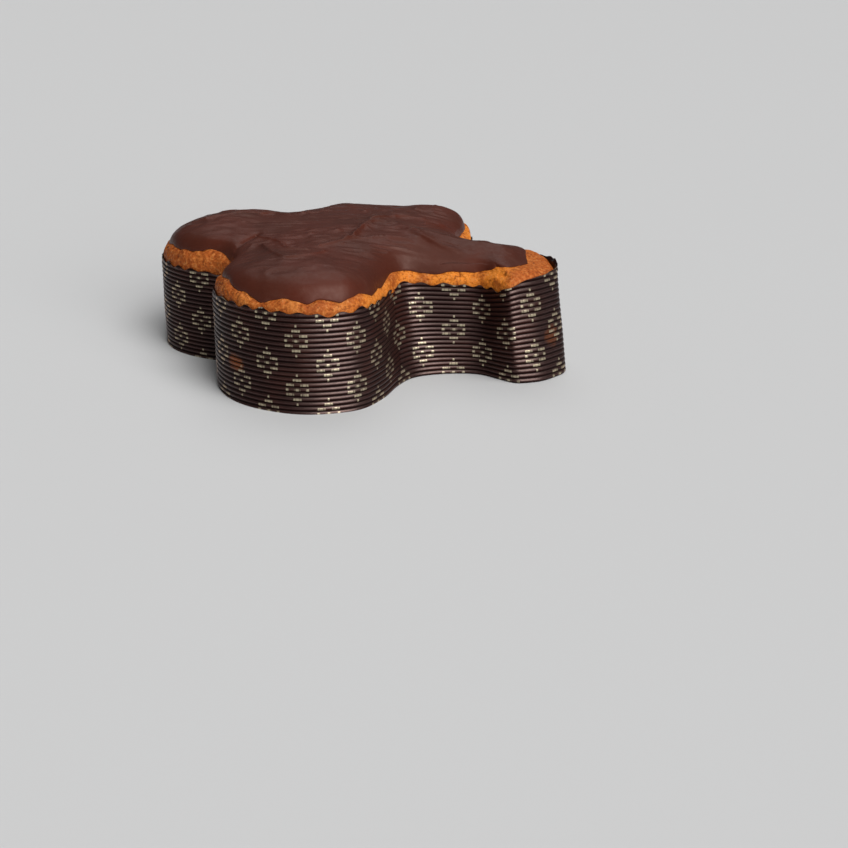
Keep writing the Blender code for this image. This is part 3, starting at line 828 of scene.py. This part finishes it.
# Folds: points along the crest, width, height. The crest is drawn in this many steps a point.
CREST_STEPS = 8
FOLDS = (
    (((0.004, -0.023), (0.002, -0.008), (0.004, 0.006), (0.010, 0.009), (0.018, 0.007),
      (0.029, 0.001), (0.040, -0.007), (0.050, -0.010), (0.060, -0.010)), 0.0034, 0.0011),
    (((0.000, 0.016), (0.012, 0.034), (0.026, 0.038), (0.037, 0.043), (0.042, 0.056)), 0.0032, 0.0009),
    (((-0.008, -0.046), (-0.002, -0.038), (0.003, -0.027), (0.004, -0.016)), 0.0026, 0.0007),
    (((0.001, -0.031), (0.008, -0.024), (0.021, -0.015), (0.033, -0.012)), 0.0020, 0.0006),
    (((-0.042, -0.046), (-0.028, -0.064), (-0.016, -0.074), (-0.006, -0.066), (-0.002, -0.054)),
     0.0022, 0.0007),
    (((-0.050, -0.034), (-0.036, -0.040), (-0.024, -0.052), (-0.012, -0.055)), 0.0022, 0.0006),
    (((-0.074, 0.004), (-0.064, 0.018), (-0.052, 0.014), (-0.046, 0.022)), 0.0028, 0.0007),
    (((-0.095, -0.010), (-0.083, 0.003), (-0.070, 0.014)), 0.0030, 0.0006),
    (((0.029, 0.030), (0.037, 0.036), (0.045, 0.040)), 0.0022, 0.0006),
    (((0.034, 0.020), (0.042, 0.026), (0.052, 0.026)), 0.0022, 0.0005),
    (((-0.058, -0.047), (-0.056, -0.038), (-0.054, -0.028)), 0.0030, -0.0016),
)
# Bubbles: place, radius, height.
BUBBLES = (
    ((-0.022, -0.025), 0.0022, 0.0009), ((-0.009, -0.016), 0.0022, 0.0009),
    ((0.002, -0.037), 0.0011, 0.0006), ((0.022, -0.088), 0.0010, 0.0006),
    ((-0.012, 0.039), 0.0022, 0.0009), ((0.012, 0.065), 0.0018, 0.0008),
    ((-0.045, 0.028), 0.0016, 0.0007), ((-0.070, -0.010), 0.0014, 0.0005),
    ((0.020, 0.080), 0.0015, 0.0006),
)
# Undulation: size, height. Wrinkles: size, height, and how they are drawn out across the loaf:
# the first line turns X and Y into the place along a wrinkle, the second into that across it.
UNDULATIONS = ((0.019, 0.00055), (0.008, 0.00022))
WRINKLE = (0.0052, 0.00040)
WRINKLE_DRAWN = ((0.55, 0.25), (-0.3, 1.0))
# Smooth stretch of the near wing: place, radius, share by which undulation and wrinkles fade.
CALM = ((0.014, -0.072), 0.022, 0.60)
# A fold is a broad foot and a narrow crest on it: share of each, and how much narrower it is.
FOLD_RISE = 1.9
FOLD_FOOT = 0.4
FOLD_CREST = 0.6
FOLD_NARROW = 3.0
# Towards the head the coat is thinner and its lip longer: share, and where along X.
HEAD_COAT_LESS = (0.60, (0.080, 0.026))
HEAD_LIP_LONGER = (3.0, (0.098, 0.020))
GLAZE_BROWN = (0.0620, 0.0150, 0.0085, 1.0)
GLAZE_RED_BROWN = (0.0780, 0.0170, 0.0095, 1.0)
GLAZE_BLOOM = (0.095, 0.038, 0.026, 1.0)
GLAZE_SHEEN = (1.0, 0.74, 0.65, 1.0)
GLAZE_BLOOMED = 0.35
GLAZE_ROUGH = (0.36, 0.50)
GLAZE_BUMP = (0.35, 0.0007)
# Scales of the noise that varies the glaze: cycles a metre. The streaks are drawn out along X.
GLAZE_PATCHES = 26
GLAZE_STREAKS = 90
STREAKS_DRAWN = (0.55, 1.4, 1.0)
GLAZE_GRAIN = 420


def crest_distance(xy, crest):
    """Distance in plan from each point to a crest drawn smoothly through a few points."""
    crest = np.array(crest)
    padded = np.vstack([2 * crest[0] - crest[1], crest, 2 * crest[-1] - crest[-2]])
    t = np.linspace(0, len(crest) - 1.001, CREST_STEPS * len(crest))
    i = t.astype(int)
    u = (t - i)[:, None]
    a, b, c, d = (padded[i + k] for k in range(4))
    path = 0.5 * (2 * b + (c - a) * u + (2 * a - 5 * b + 4 * c - d) * u ** 2
                  + (3 * b - a - 3 * c + d) * u ** 3)
    nearest = np.full(xy.shape[:2], 1.0)
    for start, end in zip(path[:-1], path[1:]):
        along = np.clip(((xy - start) @ (end - start)) / ((end - start) @ (end - start)), 0, 1)
        away = np.linalg.norm(xy - start - along[..., None] * (end - start), axis=-1)
        nearest = np.minimum(nearest, away)
    return nearest


def glaze_relief(xy):
    """Height the set chocolate stands above an even coat: folds with a narrow crest on a
    broad foot, bubbles, slow undulation, and fine wrinkles stretched along the loaf."""
    place, radius, share = CALM
    calm = 1 - share * np.exp(-0.5 * ((xy - np.array(place)) ** 2).sum(axis=-1) / radius ** 2)
    relief = sum(high * lattice_noise(xy, size, 21 + k) for k, (size, high) in enumerate(UNDULATIONS))
    size, high = WRINKLE
    relief += high * (1 - 2 * np.abs(lattice_noise(xy @ np.array(WRINKLE_DRAWN).T, size, 23)))
    relief *= calm
    for crest, wide, high in FOLDS:
        away = crest_distance(xy, crest) / wide
        foot = FOLD_FOOT * np.exp(-away ** 2)
        relief += FOLD_RISE * high * (foot + FOLD_CREST * np.exp(-(FOLD_NARROW * away) ** 2))
    for place, radius, high in BUBBLES:
        away = np.linalg.norm(xy - np.array(place), axis=-1)
        relief += high * np.exp(-(away / radius) ** 2)
    return relief


def coat(xy):
    """Thickness of the coat, which thins out towards the head."""
    share, change = HEAD_COAT_LESS
    return GLAZE * (1 - share * ease(xy[..., 0], change))


def glaze_grid():
    """Rows from the middle of the underside out to the border, round the lip, and back over
    the top to the middle."""
    run = np.mod(column_runs(GLAZE_COLUMNS), PERIMETER)
    heart = heart_line(run)
    border = glaze_border(run)
    edge = inset_rows(run, border[None])[0]

    share = np.linspace(1, 0, GLAZE_UNDER_ROWS)[:, None, None]
    under = edge + share * (heart - edge)
    under = np.concatenate([[part * heart for part in GLAZE_MIDDLE_SHARES], under])
    under = at_height(under, bread_height(under, depth(under)) + GLAZE_LIFT)

    # lip: a quarter round from the bread's surface up to the full coat
    angle = np.linspace(0, math.pi / 2, LIP_STEPS)[1:, None]
    longer, head_from = HEAD_LIP_LONGER
    lip_run = LIP_RUN * (1 + longer * ease(read_round(run, OUTLINE)[:, 0], head_from))
    lip_inset = border - LIP_OVERHANG * np.sin(2 * angle) + (1 - np.cos(angle)) * lip_run
    lip_xy = inset_rows(run, lip_inset)
    lip_rise = coat(lip_xy) * LIP_THICK * np.sin(angle) ** LIP_RISE_POWER
    lip = at_height(lip_xy, bread_height(lip_xy, depth(lip_xy)) + GLAZE_LIFT + lip_rise)

    start = lip_xy[-1]
    share = (np.arange(1, OUTER_GLAZE_ROWS + 1) / OUTER_GLAZE_ROWS)[:, None, None]
    outer = start + share * (heart - start)
    share = np.linspace(1, 0, INNER_GLAZE_ROWS + 1)[1:-1, None, None]
    over = np.concatenate([outer, share * heart])
    d = depth(over)
    clear = ease(d - border, (lip_run, LIP_CLEAR))
    over_z = bread_height(over, d) + GLAZE_LIFT
    over_z += coat(over) * (LIP_THICK + (1 - LIP_THICK) * clear)
    over_z += glaze_relief(over) * (LIP_RELIEF + (1 - LIP_RELIEF) * clear)
    return np.concatenate([under, lip, at_height(over, over_z)])


def chocolate_material():
    """Set dark chocolate: brown with slow redder patches, a trace of bloom, satin gloss
    broken by fine grain and wrinkles."""
    made, nodes, links, shader = new_material("dark chocolate", GLAZE_BROWN, 0.42, 0.28)
    shader.inputs["Specular Tint"].default_value = GLAZE_SHEEN
    sums, climb, mix, noise, bump = node_maker(nodes, links)
    coords = nodes.new("ShaderNodeTexCoord").outputs["Object"]
    patches = noise(coords, GLAZE_PATCHES, 3)
    streaks = noise(coords, GLAZE_STREAKS, 5, 0.6, STREAKS_DRAWN, 0.6)
    fine = noise(coords, GLAZE_GRAIN, 4, 0.6)
    tone = mix(climb(patches, 0.38, 0.62), GLAZE_BROWN, GLAZE_RED_BROWN)
    tone = mix(climb(streaks, 0.54, 0.74, 0.0, GLAZE_BLOOMED), tone, GLAZE_BLOOM)
    links.new(tone, shader.inputs["Base Color"])
    links.new(climb(fine, 0.3, 0.7, *GLAZE_ROUGH), shader.inputs["Roughness"])
    height = sums("ADD", streaks, sums("MULTIPLY", fine, 0.16))
    links.new(bump(height, *GLAZE_BUMP), shader.inputs["Normal"])
    return made


glaze_points = glaze_grid()
glaze_top = glaze_points[-1, :, 2].mean()
glaze = closed_skin("poured_glaze", glaze_points, (0, 0, centre_height + GLAZE_LIFT), (0, 0, glaze_top))
glaze.data.materials.append(chocolate_material())
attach(glaze, "root")
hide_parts("chocolate_glaze")


# The setting: a plain pale floor, soft studio light from the camera's right, high and low, with
# a weaker one from behind, and the camera where the photograph was taken from.
FLOOR_HALF = 30.0
FLOOR_PALE = (0.62, 0.62, 0.62, 1.0)
WORLD_WHITE = (0.96, 0.98, 1.0, 1.0)
WORLD_STRENGTH = 0.08
# Lamps: name, azimuth from the camera's side, elevation, angular size, strength.
LAMPS = (
    ("high key", 41.0, 60.0, 38.0, 1.7),
    ("low key", 30.0, 26.0, 42.0, 2.1),
    ("back", 178.0, 60.0, 46.0, 0.55),
)
CAMERA_AZIMUTH = 20.6
CAMERA_AT = (0.2419, -0.6558, 0.2465)
CAMERA_TURN = (67.118, -0.788, 17.432)
CAMERA_LENS = 52.158

floor_mesh = bpy.data.meshes.new("floor")
corners = [(x * FLOOR_HALF, y * FLOOR_HALF, 0) for x, y in ((-1, -1), (1, -1), (1, 1), (-1, 1))]
floor_mesh.from_pydata(corners, [], [(0, 1, 2, 3)])
floor = bpy.data.objects.new("floor", floor_mesh)
bpy.context.scene.collection.objects.link(floor)
floor_mesh.materials.append(new_material("floor", FLOOR_PALE, 0.8, 0.2)[0])

world = bpy.data.worlds.new("studio")
world.use_nodes = True
world.node_tree.nodes["Background"].inputs["Color"].default_value = WORLD_WHITE
world.node_tree.nodes["Background"].inputs["Strength"].default_value = WORLD_STRENGTH
bpy.context.scene.world = world
bpy.context.scene.view_settings.view_transform = "Standard"

for name, azimuth, elevation, size, strength in LAMPS:
    data = bpy.data.lights.new(name, "SUN")
    data.angle = math.radians(size)
    data.energy = strength
    lamp = bpy.data.objects.new(name, data)
    lamp.rotation_euler = (math.radians(90 - elevation), 0, math.radians(CAMERA_AZIMUTH + azimuth))
    bpy.context.scene.collection.objects.link(lamp)

camera_data = bpy.data.cameras.new("camera")
camera_data.lens = CAMERA_LENS
camera = bpy.data.objects.new("camera", camera_data)
camera.location = CAMERA_AT
camera.rotation_euler = tuple(math.radians(a) for a in CAMERA_TURN)
bpy.context.scene.collection.objects.link(camera)
bpy.context.scene.camera = camera
